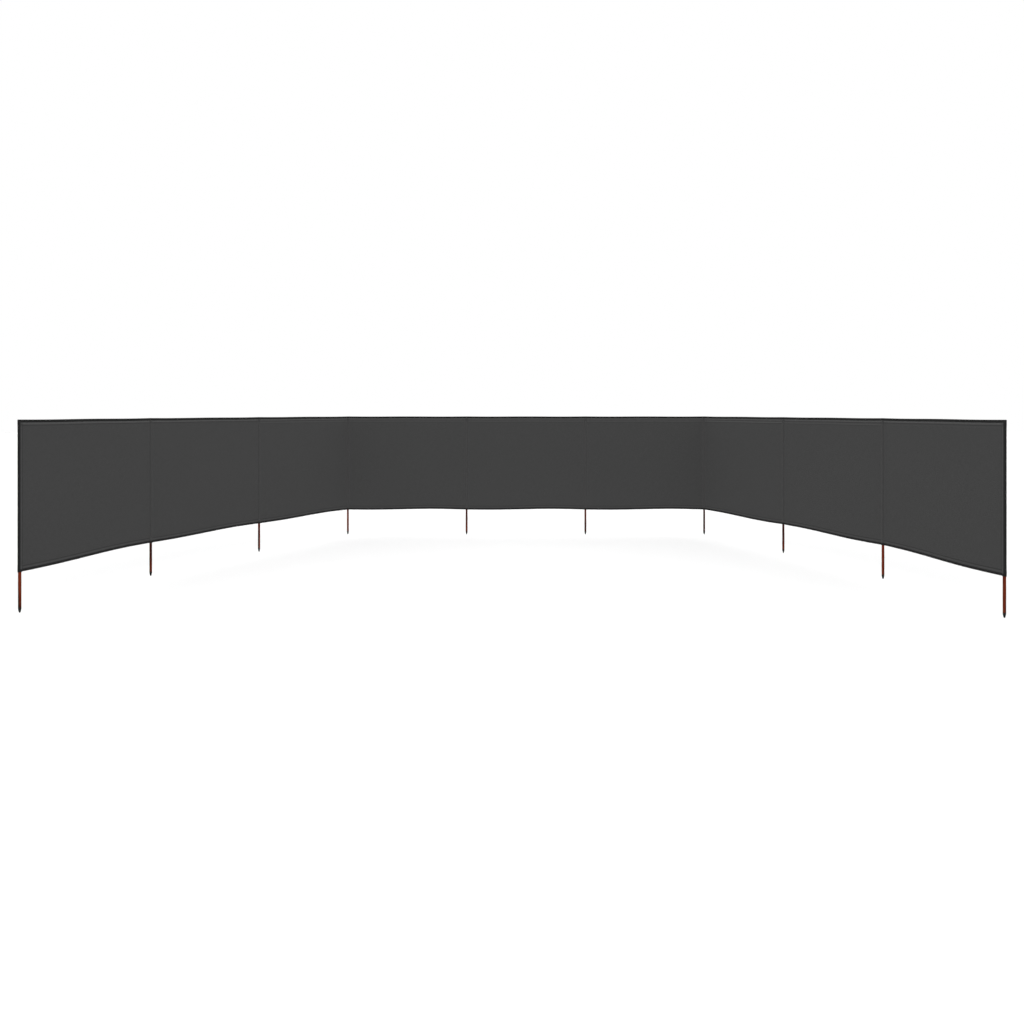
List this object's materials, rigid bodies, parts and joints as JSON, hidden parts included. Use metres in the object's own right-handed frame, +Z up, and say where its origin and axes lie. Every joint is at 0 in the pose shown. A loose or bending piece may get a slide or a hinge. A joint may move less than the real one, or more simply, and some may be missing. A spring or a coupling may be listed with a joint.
{
  "type": "beach windbreak",
  "caption": "Beach windbreak: a long grey cloth screen in equal bays, held up by round wooden poles in sewn sleeves, with black points for pushing into sand; folds at each pole.",
  "frame": {"origin": "flat end of the point of pole 5, where it meets the ground", "axes": "+X along the back row to the right as seen from inside the screen, +Y out through the back row, +Z up"},
  "size_m": [6.6752, 3.8425, 1.32],
  "materials": {
    "pole_wood": "satin varnish, red-brown",
    "point_black": "matt black",
    "cloth_grey": "woven, matt, dark grey"
  },
  "bodies": {
    "bay_5": {"cloth_5": "cloth_grey", "sleeve_5": "cloth_grey", "pole_5": "pole_wood", "point_5": "point_black", "sleeve_6": "cloth_grey", "pole_6": "pole_wood", "point_6": "point_black"},
    "bay_4": {"cloth_4": "cloth_grey", "sleeve_4": "cloth_grey", "pole_4": "pole_wood", "point_4": "point_black"},
    "bay_3": {"cloth_3": "cloth_grey", "sleeve_3": "cloth_grey", "pole_3": "pole_wood", "point_3": "point_black"},
    "bay_2": {"cloth_2": "cloth_grey", "sleeve_2": "cloth_grey", "pole_2": "pole_wood", "point_2": "point_black"},
    "bay_1": {"cloth_1": "cloth_grey", "sleeve_1": "cloth_grey", "pole_1": "pole_wood", "point_1": "point_black"},
    "bay_6": {"cloth_6": "cloth_grey", "sleeve_7": "cloth_grey", "pole_7": "pole_wood", "point_7": "point_black"},
    "bay_7": {"cloth_7": "cloth_grey", "sleeve_8": "cloth_grey", "pole_8": "pole_wood", "point_8": "point_black"},
    "bay_8": {"cloth_8": "cloth_grey", "sleeve_9": "cloth_grey", "pole_9": "pole_wood", "point_9": "point_black"},
    "bay_9": {"cloth_9": "cloth_grey", "sleeve_10": "cloth_grey", "pole_10": "pole_wood", "point_10": "point_black"}
  },
  "joints": [
    {"name": "fold_at_pole_5", "type": "hinge", "parent": "bay_5", "child": "bay_4", "pos_m": [0, 0, 0.277], "axis": [0, 0, 1], "range_deg": [0, 170]},
    {"name": "fold_at_pole_4", "type": "hinge", "parent": "bay_4", "child": "bay_3", "pos_m": [-1.33, 0, 0.277], "axis": [0, 0, -1], "range_deg": [0, 231]},
    {"name": "fold_at_pole_3", "type": "hinge", "parent": "bay_3", "child": "bay_2", "pos_m": [-1.9748, -1.16324, 0.277], "axis": [0, 0, 1], "range_deg": [0, 165]},
    {"name": "fold_at_pole_2", "type": "hinge", "parent": "bay_2", "child": "bay_1", "pos_m": [-2.51576, -2.37826, 0.277], "axis": [0, 0, -1], "range_deg": [0, 179]},
    {"name": "fold_at_pole_6", "type": "hinge", "parent": "bay_5", "child": "bay_6", "pos_m": [1.33, 0, 0.277], "axis": [0, 0, 1], "range_deg": [0, 170]},
    {"name": "fold_at_pole_7", "type": "hinge", "parent": "bay_6", "child": "bay_7", "pos_m": [2.66, 0, 0.277], "axis": [0, 0, -1], "range_deg": [0, 101.5]},
    {"name": "fold_at_pole_8", "type": "hinge", "parent": "bay_7", "child": "bay_8", "pos_m": [3.14745, -1.23745, 0.277], "axis": [0, 0, 1], "range_deg": [0, 173.5]},
    {"name": "fold_at_pole_9", "type": "hinge", "parent": "bay_8", "child": "bay_9", "pos_m": [3.55844, -2.50236, 0.277], "axis": [0, 0, -1], "range_deg": [0, 162]}
  ],
  "couplings": [
    {"joint": "fold_at_pole_4", "follows": "fold_at_pole_5", "ratio": 1.3588},
    {"joint": "fold_at_pole_3", "follows": "fold_at_pole_5", "ratio": 0.97059},
    {"joint": "fold_at_pole_2", "follows": "fold_at_pole_5", "ratio": 1.0529},
    {"joint": "fold_at_pole_7", "follows": "fold_at_pole_6", "ratio": 0.59706},
    {"joint": "fold_at_pole_8", "follows": "fold_at_pole_6", "ratio": 1.0206},
    {"joint": "fold_at_pole_9", "follows": "fold_at_pole_6", "ratio": 0.95294}
  ]
}
